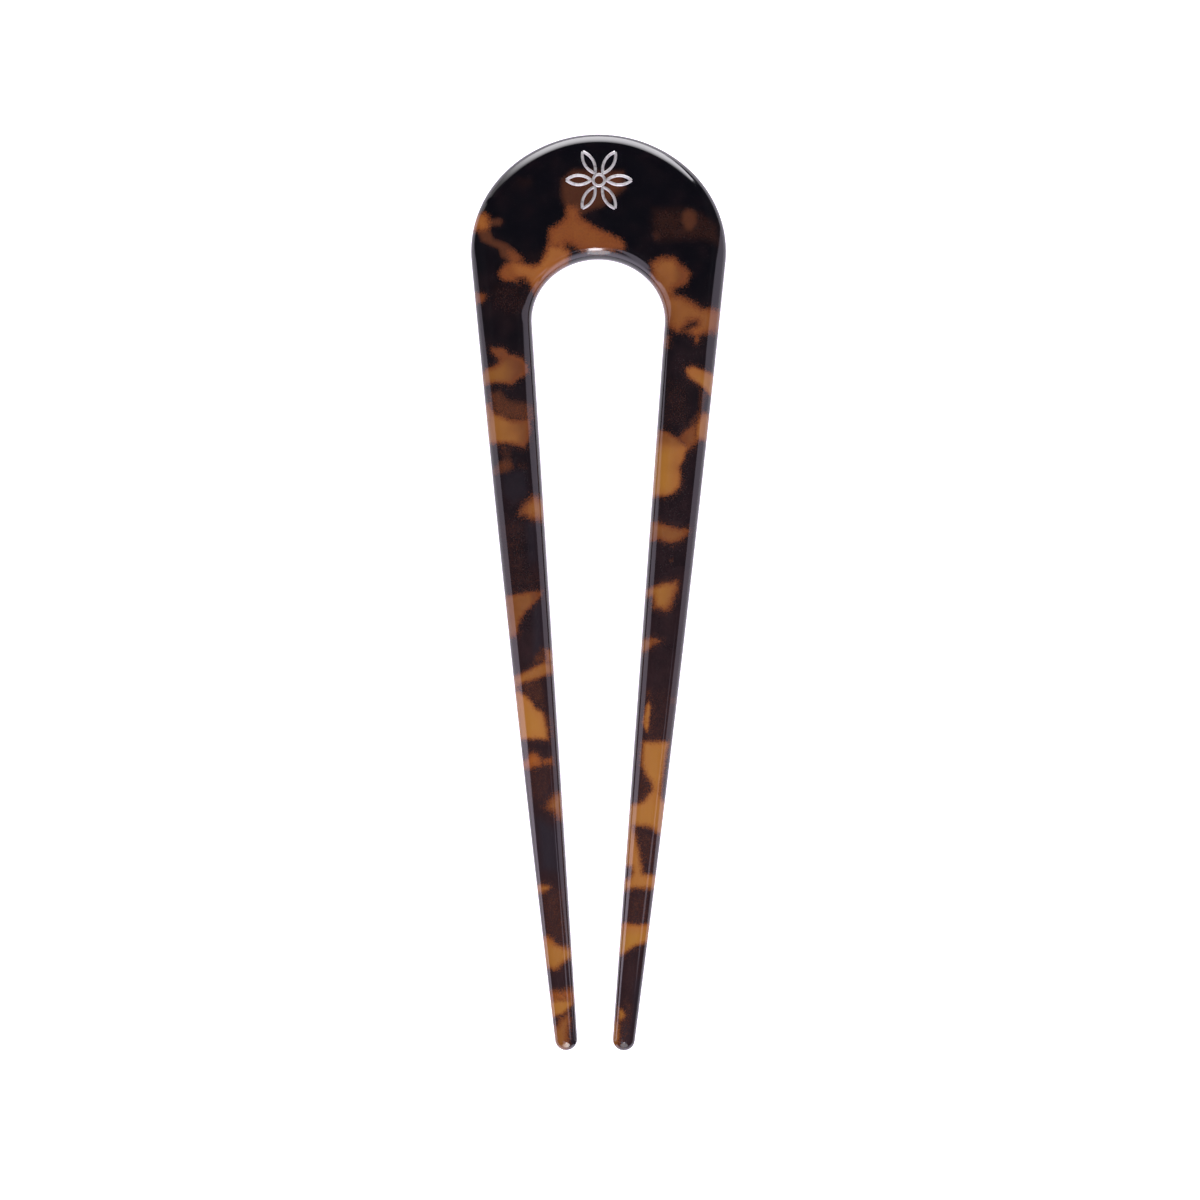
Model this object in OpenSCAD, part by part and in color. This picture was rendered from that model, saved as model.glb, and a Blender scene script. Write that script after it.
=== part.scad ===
/* [Head] */
// Overall length, from the crown to the tips
pin_l = 127; // [100:1:150]
// Width across the head
head_w = 35.4; // [32:0.2:44]
// Height of the round shoulders, from the widest place up to the crown
crown_h = 16.2; // [12:0.2:22]
// Depth of the solid band between the crown and the top of the gap
band_h = 17.3; // [13:0.1:24]

/* [Gap] */
// Widest clear width between the legs, just under the arch
gap_w = 18.4; // [12:0.2:22]
// Height of the arch above the place where the gap is widest
arch_h = 8.4; // [5:0.2:12]
// Clear width between the two tips
tip_gap = 4.9; // [3:0.1:8]

/* [Legs] */
// Width of each leg at its tip
tip_w = 3.1; // [2.4:0.1:4]
// How far the middle of each outer edge bows out of line
leg_bow = 0.36; // [0:0.02:0.8]

/* [Thickness] */
// Thickness of the head
head_t = 4.2; // [3:0.1:5.4]
// Thickness at the tips
tip_t = 2.8; // [2:0.1:3.6]

/* [Emblem] */
// Distance from the crown down to the middle of the rosette
emblem_drop = 6.5; // [6:0.1:9]
// Diameter of the rosette over its petal tips
emblem_d = 9.6; // [6:0.2:10]
// Width of each petal
petal_w = 1.7; // [1.2:0.1:2]
// Diameter of the round eye in its middle
eye_d = 2; // [1.4:0.1:2.6]
// Width of the silver line that they are drawn with
line_w = 0.42; // [0.3:0.02:0.5]
// Depth of the groove that the line lies in
groove_h = 0.25; // [0.1:0.05:0.6]
// How far the line stands out of the groove
proud_h = 0.15; // [0.05:0.05:0.4]
// Clearance between the line and the groove's walls
groove_gap = 0.05; // [0.02:0.01:0.1]

/* [Hidden] */

// Steps along the head's curve, along a leg, around half a tip and over the edge
head_n = 26;
leg_n = 14;
tip_n = 7;
edge_n = 12;
// Steps of a full circle, and halvings that find a tangent
$fn = 96;
halvings = 40;
// Narrowest flat that the rounded edges leave between them
flat_min = 0.1;
// Petals of the rosette
petals = 6;
// Overrun of a cut past the face that it opens
cut = 1;

crown_y = pin_l / 2;
head_at = [0, crown_y - crown_h];
head_r = [head_w / 2, crown_h];
arch_at = [0, crown_y - band_h - arch_h];
arch_r = [gap_w / 2, arch_h];
tip_r = [tip_w, tip_w] / 2;
tip_at = [tip_gap / 2 + tip_r.x, tip_r.y - pin_l / 2];
leg_h = arch_at.y - tip_at.y;
shoulder_w = head_r.x - arch_r.x;

function ray(a) = [cos(a), sin(a)];
function blend(a, b, s) = a + (b - a) * s;
function clamp(s) = max(0, min(1, s));
function without_first(list) = [for (i = [1 : len(list) - 1]) list[i]];

// Point of an oval at c, with half-axes r, whose edge faces angle a
function facing(c, r, a) =
    c + [r.x ^ 2 * cos(a), r.y ^ 2 * sin(a)] / norm([r.x * cos(a), r.y * sin(a)]);

// Angle of the line that touches an oval at c and runs side past the tip's middle
function lean(c, r, side, low = -45, high = 0, n = halvings) =
    let (a = (low + high) / 2)
    n == 0 ? a
        : (facing(c, r, a) - tip_at) * ray(a) > side ? lean(c, r, side, low, a, n - 1)
        : lean(c, r, side, a, high, n - 1);

out_a = lean(head_at, head_r, tip_r.x);
in_a = lean(arch_at, arch_r, -tip_r.x);
end_a = (out_a + in_a - 180) / 2;

// Angle that the bow turns each end of an outer edge
bow_a = atan(4 * leg_bow / leg_h);
low_a = out_a - bow_a;
high_a = out_a + bow_a;

// An outline place: its x, its y and the angle that the edge faces there
function place(p, a) = [p.x, p.y, a];

// Place on an oval's edge, s of the way from angle a to angle b
function on_oval(c, r, a, b, s, turn = 0) =
    let (at = blend(a, b, s))
    place(facing(c, r, at), at + turn);

// Place on a leg's outer edge, s of the way up from the tip to the head
function on_bow(s) =
    let (
        low = facing(tip_at, tip_r, low_a),
        high = facing(head_at, head_r, high_a),
        pull = (low + high) / 2 + 2 * leg_bow * ray(out_a)
    )
    place(blend(blend(low, pull, s), blend(pull, high, s), s), blend(low_a, high_a, s));

// Place on a leg's straight inner edge, s of the way down from the arch to the tip
function on_line(s) =
    place(
        blend(facing(arch_at, arch_r, in_a), facing(tip_at, tip_r, in_a + 180), s),
        in_a + 180
    );

// Right half of the outer edge, from the tip's end up to the crown
outer_half = concat(
    [for (i = [0 : tip_n - 1]) on_oval(tip_at, tip_r, end_a, low_a, i / tip_n)],
    [for (i = [0 : leg_n - 1]) on_bow(i / leg_n)],
    [for (i = [0 : head_n]) on_oval(head_at, head_r, high_a, 90, i / head_n)]
);

// Right half of the inner edge, from the top of the arch down to the tip's end
inner_half = concat(
    [for (i = [0 : head_n]) on_oval(arch_at, arch_r, 90, in_a, i / head_n, 180)],
    [for (i = [1 : leg_n]) on_line(i / leg_n)],
    [for (i = [1 : tip_n - 1]) on_oval(tip_at, tip_r, in_a - 180, end_a, i / tip_n)]
);

// The same places on the left, in the opposite order
function mirrored(half) =
    [for (i = [len(half) - 1 : -1 : 0]) [-half[i].x, half[i].y, 180 - half[i].z]];

// The whole outline as one loop: tip, crown, tip, arch
outline = concat(
    outer_half,
    without_first(mirrored(outer_half)),
    mirrored(inner_half),
    without_first(inner_half)
);
outline_n = len(outline);
far_tip = outline_n / 2;

// Share of the way down the leg, 0 at the arch and 1 at the tip
function down(y) = clamp((arch_at.y - y) / leg_h);

// Thickness and width of the leg at height y, thinning faster near the tip
function thickness(y) = blend(head_t, tip_t, down(y) ^ 2);
function wall(y) = blend(shoulder_w, tip_w, down(y));

// How far the rounded edge reaches in from the outline
function edge_r(y) = min(thickness(y), wall(y) - flat_min) / 2;

// Point of the rounded edge at a place, a from -90 underneath to 90 on top
function edge_point(p, a) =
    let (inset = edge_r(p.y) * (1 - cos(a)))
    [p.x - inset * cos(p.z), p.y - inset * sin(p.z), thickness(p.y) / 2 * (1 + sin(a))];

// Face across the band between neighbouring places j and j + 1, counted from point k
function band_face(j, k) =
    [for (i = j == 0 ? [0, 1, outline_n - 1]
        : j == far_tip - 1 ? [j, j + 1, j + 2]
        : [j, j + 1, outline_n - j - 1, outline_n - j]) i + k];
function reversed(list) = [for (i = [len(list) - 1 : -1 : 0]) list[i]];

module blank() {
    under = [for (j = [0 : far_tip - 1]) band_face(j, 0)];
    over = [for (j = [0 : far_tip - 1]) reversed(band_face(j, edge_n * outline_n))];
    around = [for (k = [0 : edge_n - 1], j = [0 : outline_n - 1])
        let (next = (j + 1) % outline_n)
        [k * outline_n + j, (k + 1) * outline_n + j, (k + 1) * outline_n + next,
            k * outline_n + next]];
    points = [for (k = [0 : edge_n], p = outline) edge_point(p, blend(-90, 90, k / edge_n))];
    polyhedron(points, concat(under, around, over));
}

// Petal between two arcs that meet at its ends, each moved out by grow
module petal(grow) {
    root = (eye_d - line_w) / 2;
    span = emblem_d / 2 - root;
    arc_r = (span ^ 2 + petal_w ^ 2) / petal_w / 4;
    intersection_for(side = [-1, 1])
        translate([root + span / 2, side * (arc_r - petal_w / 2)])
            circle(r = arc_r + grow);
}

// Silver line of the rosette, each edge moved out by grow
module rosette(grow) {
    difference() {
        union() {
            circle(d = eye_d + 2 * grow);
            for (i = [0 : petals - 1])
                rotate(i * 360 / petals)
                    petal(grow);
        }
        circle(d = eye_d - 2 * line_w - 2 * grow);
        for (i = [0 : petals - 1])
            rotate(i * 360 / petals)
                petal(-line_w - grow);
    }
}

module on_groove_floor() {
    translate([0, crown_y - emblem_drop, head_t - groove_h])
        children();
}

// Tortoiseshell acetate pin, flat underneath, with its edge fully rounded
module pin_body() {
    color("saddlebrown")
        difference() {
            blank();
            on_groove_floor()
                linear_extrude(groove_h + cut)
                    rosette(groove_gap);
        }
}

// Thin silver line pressed into the head
module foil_emblem() {
    color("silver")
        on_groove_floor()
            linear_extrude(groove_h + proud_h)
                rosette(0);
}

pin_body();
foil_emblem();
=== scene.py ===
"""Tortoiseshell hair pin with a silver rosette, lying on a white table under studio light."""

import logging
import math
from collections.abc import Callable, Iterable, Sequence
from dataclasses import dataclass
from enum import Enum
from typing import Any, Union

import bpy
import numpy as np
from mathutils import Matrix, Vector


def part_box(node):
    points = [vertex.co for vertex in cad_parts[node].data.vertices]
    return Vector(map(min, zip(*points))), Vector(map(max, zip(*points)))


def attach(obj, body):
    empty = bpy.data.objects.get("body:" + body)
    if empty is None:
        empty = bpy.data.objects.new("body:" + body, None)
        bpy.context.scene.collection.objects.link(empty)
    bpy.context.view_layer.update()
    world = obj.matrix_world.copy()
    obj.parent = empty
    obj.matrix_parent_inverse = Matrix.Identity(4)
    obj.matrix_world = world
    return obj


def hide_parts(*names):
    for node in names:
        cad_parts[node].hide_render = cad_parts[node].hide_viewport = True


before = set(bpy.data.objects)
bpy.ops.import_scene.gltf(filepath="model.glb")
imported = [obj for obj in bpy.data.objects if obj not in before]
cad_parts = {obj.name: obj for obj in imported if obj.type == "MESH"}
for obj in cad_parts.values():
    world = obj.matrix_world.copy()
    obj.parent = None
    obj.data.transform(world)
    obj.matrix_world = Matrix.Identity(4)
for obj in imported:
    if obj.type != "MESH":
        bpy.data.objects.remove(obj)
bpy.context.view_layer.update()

MM = 0.001
ROOT_BODY = "root"

log = logging.getLogger("hair_pin")


Corners = tuple[tuple[float, float], ...]


class Zone(Enum):
    """Stretch of the pin that patches of colour are charted on."""

    HEAD = "head"
    LEFT_LEG = "left leg"
    RIGHT_LEG = "right leg"


class Tint(Enum):
    """What a patch does to the colour of the acetate."""

    AMBER = "amber"
    GOLD = "gold"
    EMBER = "ember"
    BROWN = "brown"
    RUSSET = "russet"
    DARK = "dark"
    COOL = "cool"

    def __call__(self, strength: float, blur: float, *corners: tuple[float, float]) -> "Patch":
        """Chart a patch of this tint."""
        return Patch(self, strength, blur, corners)


@dataclass(frozen=True)
class Patch:
    """One patch of colour in the sheet.

    A corner is (across, drop). Drop is in millimetres below the crown. Across is in
    millimetres from the axis on the head. On a leg it is in hundredths of the way from its
    left to its right edge, with more either way where the patch runs over the edge. A dark
    patch cuts clean into the amber, whatever its strength and blur.
    """

    tint: Tint
    strength: float
    blur: float
    corners: Corners


AMBER, GOLD, EMBER, BROWN, RUSSET, DARK, COOL = Tint

HEAD_PATCHES = (
    RUSSET(0.7, 0.8, (-5.3, 6.4), (-3.6, 5), (3.4, 5.2), (3.8, 7.6), (1, 10), (-2.6, 11.4), (-4.6, 11),
        (-5.3, 8.6)),
    RUSSET(0.95, 0.6, (1, 5.8), (3.2, 5.4), (3.2, 7.4), (1.6, 9), (0.6, 8.6)),
    DARK(1, 0.3, (-1.6, 4.2), (1.8, 4.4), (1.4, 5.8), (-0.6, 6.4), (-1.8, 5.6)),
    AMBER(0.02, 0.4, (-4.3, 9.9), (-3, 10.2), (-2.5, 11.6), (-1, 12.6), (0.7, 13.5), (3.4, 14.8),
        (3.7, 16), (1, 16.4), (-2.2, 16.3), (-4.4, 15.5), (-7.3, 16), (-7, 15), (-6.9, 13.4),
        (-4.7, 11.8)),
    EMBER(0.5, 1, (-6.4, 6), (4, 6), (4.4, 10.4), (6, 15), (4.4, 18), (-2, 18.4), (-6, 20.4), (-9, 24),
        (-16, 21), (-16, 18), (-9.8, 17.4), (-8.6, 12.6)),
    EMBER(0.5, 1, (-18.4, 11), (-15, 11), (-14.6, 14.4), (-18.4, 14.6)),
    DARK(1, 0.2, (-4.4, 15.2), (-3, 15.8), (-3.6, 16.1), (-4.7, 15.9)),
    EMBER(0.15, 1, (6.6, 16.4), (14, 18.6), (18, 24), (17.6, 27.6), (9, 27.6)),
    BROWN(0.1, 0.7, (-0.2, 12.8), (3, 13.4), (5.2, 15), (4.4, 17.6), (0.6, 17.6)),
    AMBER(0.5, 0.3, (-4.8, 15.5), (-6.9, 15.4), (-7.4, 16.6), (-8.3, 18), (-9.1, 18.3), (-10, 18),
        (-12.1, 17.5), (-13.4, 18.6), (-13.9, 19.5), (-13.2, 20.4), (-11.4, 20.6), (-9.6, 20.7),
        (-9.2, 21.5), (-8.6, 22.4), (-7, 20), (-4, 18), (-3.8, 16.4)),
    DARK(1, 0.15, (-11.4, 20.3), (-10.2, 20.1), (-9.7, 20.4), (-11, 20.6)),
    BROWN(0.5, 0.9, (-15, 17.6), (-12.4, 17.4), (-10.8, 20.2), (-11, 21.6), (-14.6, 21.4)),
    BROWN(0.4, 1, (10.8, 16.6), (14.4, 18.4), (13.6, 22.6), (10.9, 22)),
    RUSSET(0.9, 0.5, (-16.8, 13.4), (-15, 13.4), (-14.5, 14.7), (-12.7, 15.2), (-11.3, 16.4),
        (-10.3, 17.7), (-12, 18), (-13.5, 17.2), (-13.8, 16.1), (-16.2, 15)),
    AMBER(-0.2, 0.5, (-12.6, 16.4), (-11.5, 16.5), (-10.4, 17.7), (-12, 17.9)),
    AMBER(0.55, 0.35, (-18.2, 10.8), (-15.8, 10.8), (-15.1, 11.6), (-14.9, 13), (-15.6, 13.6),
        (-18.2, 13.6)),
    RUSSET(0.95, 0.6, (-15.4, 12.1), (-13.7, 11.8), (-13.1, 12.2), (-13.6, 12.8), (-15.4, 12.9)),
    RUSSET(0.24, 1.2, (-9.8, 16.8), (-7, 15.6), (-7.4, 17.4), (-8.8, 18.6), (-10.2, 17.8)),
    RUSSET(0.22, 1.2, (-14.8, 20.6), (-9.4, 20.8), (-9, 24.6), (-12.6, 25.4), (-15, 23.6)),
    AMBER(0.1, 0.3, (-17.8, 21.6), (-16.2, 22.1), (-15.4, 22.5), (-15.9, 23.3), (-17.4, 23.8)),
    RUSSET(0.34, 1.3, (7.2, 10.2), (11, 10), (13.4, 10.4), (16.6, 12.2), (17.4, 15.8), (14, 14.8),
        (8.2, 15.2), (7.2, 13.6)),
    RUSSET(0.78, 0.7, (11.4, 10.9), (12, 10.4), (12.9, 10.4), (13.6, 11), (13.7, 12.4), (12.9, 13.6),
        (11.9, 13.4), (11.3, 12.2)),
    RUSSET(0.5, 0.6, (7.2, 13.4), (8.6, 13.6), (8.8, 14.7), (7.6, 14.8)),
    RUSSET(0.22, 1, (-11.8, 5.9), (-9, 6), (-9, 7.8), (-11.6, 7.8)),
    AMBER(0.3, 0.4, (7.2, 17.8), (8.8, 17), (10.4, 17.1), (12.7, 19.3), (12.2, 20.8), (10.4, 21.5),
        (10.4, 22.2), (12, 22.7), (14.4, 24.1), (17.6, 24.1), (17.4, 27.2), (14.6, 27.7), (13.6, 28.1),
        (12.8, 27.8), (12.2, 27.4), (10.8, 27.4), (9.7, 26.6), (8.8, 24), (7.4, 20)),
    DARK(1, 0.2, (11.4, 27.2), (12.6, 26.1), (13.7, 25.9), (13.5, 26.6), (12.4, 27)),
    EMBER(0.5, 0.6, (12.6, 26.6), (14.6, 26.8), (14, 29.4), (13.2, 29.4)),
    AMBER(0, 0.2, (13.3, 27.8), (14, 27.8), (13.8, 28.9), (13.5, 28.9)),
    AMBER(-0.1, 0.4, (8.9, 27.8), (9.8, 27.9), (9.6, 29.3), (8.8, 29.3)),
)
LEFT_LEG_PATCHES = (
    BROWN(0.3, 0.6, (15, 29.2), (52, 29.2), (56, 31), (22, 31.4)),
    BROWN(0.25, 0.9, (66, 30.8), (110, 31), (110, 34.2), (62, 34.2)),
    GOLD(0.4, 0.9, (-20, 32.8), (45, 32.4), (42, 35), (-20, 35.2)),
    GOLD(0.25, 1, (-20, 38.6), (36, 39.4), (50, 43), (-20, 43)),
    BROWN(0.35, 1, (56, 38.8), (110, 38.8), (110, 43.8), (60, 43.8)),
    GOLD(0.6, 0.8, (10, 79.2), (46, 80.2), (60, 82.4), (10, 83.2)),
    BROWN(0.4, 0.5, (62, 79.4), (90, 80), (90, 84.2), (68, 84.2)),
    EMBER(1, 0.5, (-20, 85.4), (60, 85.4), (110, 86), (110, 87.8), (-20, 87.8)),
    EMBER(0.6, 0.5, (-20, 110.6), (30, 110.6), (60, 112), (-20, 111.9)),
    GOLD(0.4, 0.7, (-20, 112.2), (40, 112.6), (110, 113.2), (90, 114.8), (-20, 116)),
    EMBER(1, 0.4, (-20, 117.4), (120, 117), (120, 119.6), (-20, 119.9)),
    GOLD(0.5, 0.5, (-20, 120.2), (80, 120), (70, 121.4), (-20, 122.4)),
    AMBER(0.12, 0.25, (-20, 33.4), (10, 32.5), (30, 32), (40, 31.3), (24, 30.6), (20, 29.7), (46, 29.8),
        (52, 30.6), (78, 31.1), (87, 32), (88, 33), (78, 33.6), (64, 34.1), (55, 34.8), (30, 34.5),
        (-20, 35)),
    RUSSET(0.9, 0.7, (10, 35.8), (32, 35.6), (45, 36.9), (95, 37.5), (95, 39.6), (20, 39.6)),
    AMBER(0.42, 0.25, (-20, 36.8), (10, 37.2), (18, 38.7), (50, 39.7), (84, 39.5), (86, 40.6),
        (80, 42.2), (70, 43.5), (45, 43), (-20, 42.8)),
    RUSSET(0.45, 0.5, (20, 43), (45, 43.2), (40, 45.2), (22, 45.2)),
    RUSSET(0.95, 0.35, (0, 46.4), (20, 45.3), (42, 45.2), (46, 46.3), (30, 46.9), (0, 47.3)),
    RUSSET(0.4, 0.3, (54, 45.6), (74, 45.7), (70, 46.4), (54, 46.3)),
    AMBER(0.45, 0.45, (60, 51.2), (80, 50.1), (120, 49.9), (120, 53.7), (75, 53.4), (48, 52.5)),
    RUSSET(0.22, 1, (10, 53.5), (50, 53.5), (50, 60.5), (90, 60.5), (90, 63), (10, 63)),
    COOL(1, 0.6, (20, 46.9), (68, 46.5), (70, 50), (40, 51), (20, 50)),
    COOL(1, 0.6, (62, 53.6), (85, 53.6), (80, 59), (62, 59.2)),
    AMBER(0.26, 0.2, (-20, 64.2), (10, 63.8), (30, 63.6), (62, 63.3), (88, 63.2), (80, 64), (62, 65.2),
        (45, 66.2), (30, 67.4), (24, 68.6), (18, 69.6), (-20, 69.8)),
    BROWN(0.3, 0.5, (60, 63), (95, 63), (90, 64.6), (62, 65.2)),
    COOL(1, 0.6, (62, 65.4), (85, 64.6), (80, 71), (55, 72)),
    RUSSET(0.85, 0.35, (50, 73.2), (62, 72), (80, 71.2), (84, 73)),
    AMBER(0.5, 0.3, (82, 71.2), (120, 71), (120, 73.4), (82, 73.2)),
    AMBER(0.5, 0.22, (-20, 75.2), (20, 74.6), (50, 73.8), (80, 72.9), (120, 72.8), (120, 74.3), (80, 75),
        (50, 75.6), (20, 76.1), (-20, 77.6)),
    RUSSET(0.5, 0.5, (20, 76), (70, 75.4), (74, 79.6), (50, 79), (20, 77.2)),
    AMBER(0.85, 0.2, (-20, 76.2), (16, 77.1), (36, 78.1), (48, 79.2), (68, 80), (75, 81), (76, 83.9),
        (-20, 83.8)),
    RUSSET(0.5, 0.4, (78, 80.5), (96, 81), (96, 83.6), (78, 83.6)),
    AMBER(0.35, 0.3, (-20, 86.9), (10, 86.5), (26, 85.5), (42, 85.7), (56, 86.7), (50, 87.5), (30, 87.8),
        (-20, 87.8)),
    AMBER(-0.1, 0.3, (54, 86.6), (82, 86.3), (84, 87), (58, 87.3)),
    AMBER(0.4, 0.35, (54, 92.9), (64, 92.1), (84, 91), (120, 90.6), (120, 94.9), (84, 94.7), (76, 93.9),
        (58, 93.5)),
    RUSSET(0.5, 0.4, (34, 93), (54, 92.6), (56, 93.6), (38, 93.4)),
    AMBER(0.6, 0.2, (-20, 103.6), (34, 103.8), (50, 104.2), (30, 104.8), (10, 105.1), (-20, 105.6)),
    RUSSET(1, 0.15, (60, 108.9), (80, 108.8), (80, 109.2), (62, 109.2)),
    RUSSET(0.3, 0.8, (10, 87.8), (90, 87.8), (50, 92.4), (10, 92.4)),
    COOL(1, 1, (20, 94.6), (90, 96.4), (80, 102.2), (20, 101.6)),
    RUSSET(0.4, 0.8, (10, 105.4), (90, 104.4), (95, 111.8), (10, 110.6)),
    AMBER(0.68, 0.3, (-20, 111), (20, 110.9), (36, 111.3), (46, 112), (70, 112.2), (120, 112.6),
        (120, 114), (85, 114.4), (50, 115.5), (30, 115.8), (-20, 115.3)),
    RUSSET(1, 0.2, (-20, 118.2), (50, 118.3), (120, 117.6), (120, 120), (-20, 120)),
    AMBER(0.7, 0.45, (-20, 118.5), (50, 118.7), (120, 118.1), (120, 120), (-20, 120)),
    AMBER(0.8, 0.2, (-20, 119.8), (50, 119.7), (120, 119.5), (95, 120.6), (75, 121.2), (50, 121.9),
        (10, 122.3), (-20, 122.3)),
    AMBER(0.4, 0.35, (-20, 123.4), (20, 123.2), (35, 122.5), (74, 121.5), (80, 122.6), (66, 124.4),
        (60, 127.6), (-20, 127.6)),
    COOL(1, 0.4, (80, 121.5), (120, 120.6), (120, 127.6), (70, 127.6)),
)
RIGHT_LEG_PATCHES = (
    EMBER(0.35, 0.6, (40, 31.8), (70, 31.8), (80, 33.6), (50, 33.8)),
    GOLD(0.5, 0.8, (72, 33.6), (120, 33.8), (120, 36.8), (90, 36)),
    BROWN(0.35, 0.7, (-20, 39.6), (30, 41), (60, 42), (50, 43.2), (-20, 42.2)),
    GOLD(0.9, 1.1, (-20, 43.2), (28, 43.8), (34, 49), (-20, 50)),
    EMBER(0.3, 0.8, (46, 43.4), (72, 43.2), (64, 49.2), (42, 50)),
    GOLD(0.4, 0.8, (0, 62.6), (50, 62.2), (50, 65.4), (0, 65)),
    GOLD(0.4, 0.8, (35, 84.6), (85, 84.6), (80, 90), (45, 89)),
    GOLD(0.4, 0.8, (0, 93.2), (90, 92.6), (90, 95.6), (0, 96)),
    EMBER(0.6, 0.35, (42, 97.4), (50, 97.2), (66, 101.4), (58, 101.8)),
    EMBER(0.7, 0.3, (-20, 108.4), (120, 108.4), (120, 109.6), (-20, 109.6)),
    GOLD(1, 0.7, (-20, 110.6), (90, 110.6), (50, 112.6), (-20, 113.8)),
    GOLD(0.6, 0.4, (0, 120.8), (50, 121), (50, 123), (0, 127)),
    AMBER(0.6, 0.2, (45, 32.3), (58, 32), (80, 32.6), (120, 33.3), (120, 36.6), (92, 35.8), (74, 34.8),
        (52, 33.7), (45, 33)),
    RUSSET(0.55, 0.3, (74, 34.9), (90, 36), (86, 38.6), (70, 40.2), (60, 40), (76, 38)),
    AMBER(0.55, 0.25, (74, 39.8), (86, 38.4), (120, 38.4), (120, 42.3), (84, 42.4), (72, 43.4),
        (74, 41.4)),
    AMBER(0.1, 0.35, (45, 42), (56, 40.9), (76, 40), (78, 42.6), (66, 43.6)),
    AMBER(0.6, 0.2, (-20, 40), (10, 40.8), (26, 41.4), (42, 42.1), (66, 43.3), (60, 44.6), (52, 46.2),
        (56, 47.6), (55, 48.8), (46, 49.6), (34, 50.1), (16, 50.2), (-20, 50.3)),
    AMBER(0.2, 0.25, (-20, 53.2), (10, 53.5), (30, 54), (60, 54.5), (83, 54.6), (82, 55.2), (70, 56.1),
        (50, 56.6), (20, 56.1), (-20, 56.5)),
    RUSSET(0.8, 0.15, (47, 58.8), (55, 58.7), (55, 59.2), (48, 59.2)),
    AMBER(0.42, 0.3, (-20, 63.2), (20, 62.4), (40, 62), (70, 61.7), (72, 62.8), (68, 64), (60, 65.3),
        (50, 66), (20, 65.5), (18, 64), (-20, 63.8)),
    RUSSET(0.8, 0.3, (45, 65.4), (66, 64.2), (64, 65.8), (48, 66.2)),
    AMBER(0.35, 0.2, (-20, 69.5), (30, 69.7), (48, 70.1), (30, 70.6), (12, 71.6), (-20, 71.8)),
    RUSSET(0.6, 0.4, (20, 76.8), (34, 76.6), (30, 77.9), (20, 77.9)),
    RUSSET(0.6, 0.4, (80, 77.6), (120, 77.4), (120, 79.2), (82, 78.8)),
    AMBER(0.7, 0.12, (27, 78), (32, 78.8), (36, 80), (35, 81.4), (33, 82.8), (25, 82.5), (19, 81.2),
        (20, 79.4)),
    RUSSET(0.2, 0.8, (30, 77), (90, 76.6), (90, 83.6), (30, 83.6)),
    AMBER(0.8, 0.25, (20, 83.8), (94, 83.9), (90, 87), (87, 91), (95, 91.9), (120, 91.9), (120, 97.2),
        (90, 96.8), (65, 96), (20, 95.7), (30, 97.4), (36, 98.6), (44, 99.7), (52, 100.7), (58, 102.2),
        (85, 102.2), (120, 102.5), (120, 104.6), (50, 104.4), (-20, 104.8), (-20, 92.5), (20, 92.4),
        (36, 92.1), (48, 91.2), (57, 90.4), (52, 89.6), (36, 88.6), (24, 87.7), (20, 86.4)),
    RUSSET(0.4, 0.5, (20, 88.6), (50, 88.6), (50, 92), (20, 92.4)),
    DARK(1, 0.25, (-20, 101.3), (16, 101.4), (22, 102.2), (12, 102.8), (-20, 102.8)),
    RUSSET(0.4, 0.5, (30, 96.4), (90, 97), (90, 102), (50, 100)),
    AMBER(0.78, 0.2, (-20, 108.8), (30, 109.1), (60, 109.3), (85, 109.1), (120, 108.8), (120, 111.7),
        (80, 112.1), (45, 112.7), (15, 113.6), (-20, 113.8)),
    RUSSET(0.35, 0.6, (15, 105.2), (90, 105.2), (90, 109), (15, 109)),
    RUSSET(0.1, 1, (15, 114), (90, 112.8), (70, 121), (15, 121)),
    RUSSET(0.2, 1, (10, 33.6), (50, 34.6), (60, 40), (10, 40.6)),
    AMBER(0.75, 0.25, (14, 120.8), (34, 121.2), (50, 121.8), (40, 122.4), (26, 122.9), (12, 122.4)),
    AMBER(0.5, 0.3, (-20, 122.6), (12, 122.4), (26, 123.2), (30, 124.2), (28, 127.6), (-20, 127.6)),
    RUSSET(0.4, 0.5, (30, 119.8), (75, 120.2), (70, 121.6), (40, 121.4)),
    RUSSET(0.45, 0.8, (40, 122.4), (70, 121.6), (70, 127.6), (40, 127.6)),
    COOL(1, 0.8, (75, 117), (120, 116), (120, 124), (75, 123)),
    COOL(0.9, 0.8, (35, 123.6), (80, 123), (80, 127.6), (35, 127.6)),
)
PATCHES = {Zone.HEAD: HEAD_PATCHES, Zone.LEFT_LEG: LEFT_LEG_PATCHES, Zone.RIGHT_LEG: RIGHT_LEG_PATCHES}


def smooth(share: np.ndarray) -> np.ndarray:
    """Ease shares from 0 to 1, level at both ends and beyond them."""
    share = np.clip(share, 0, 1)
    return share * share * (3 - 2 * share)


@dataclass(frozen=True)
class Oval:
    """Oval that a stretch of the outline follows, in millimetres."""

    x: float
    y: float
    rx: float
    ry: float

    def facing(self, angle: float | np.ndarray) -> np.ndarray:
        """Find where the edge faces an angle.

        Args:
            angle: One or more angles in radians.

        Returns:
            The place or places, with x and y on the last axis.
        """
        c, s = np.cos(angle), np.sin(angle)
        reach = np.hypot(self.rx * c, self.ry * s)
        return np.stack([self.x + self.rx ** 2 * c / reach, self.y + self.ry ** 2 * s / reach], -1)

    def places(self, start: float, stop: float, steps: int, turn: float = 0.0) -> np.ndarray:
        """List places from angle start to stop as rows of x, y and the angle faced."""
        angles = np.linspace(start, stop, steps + 1)
        return np.column_stack([self.facing(angles), angles + turn])


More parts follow.
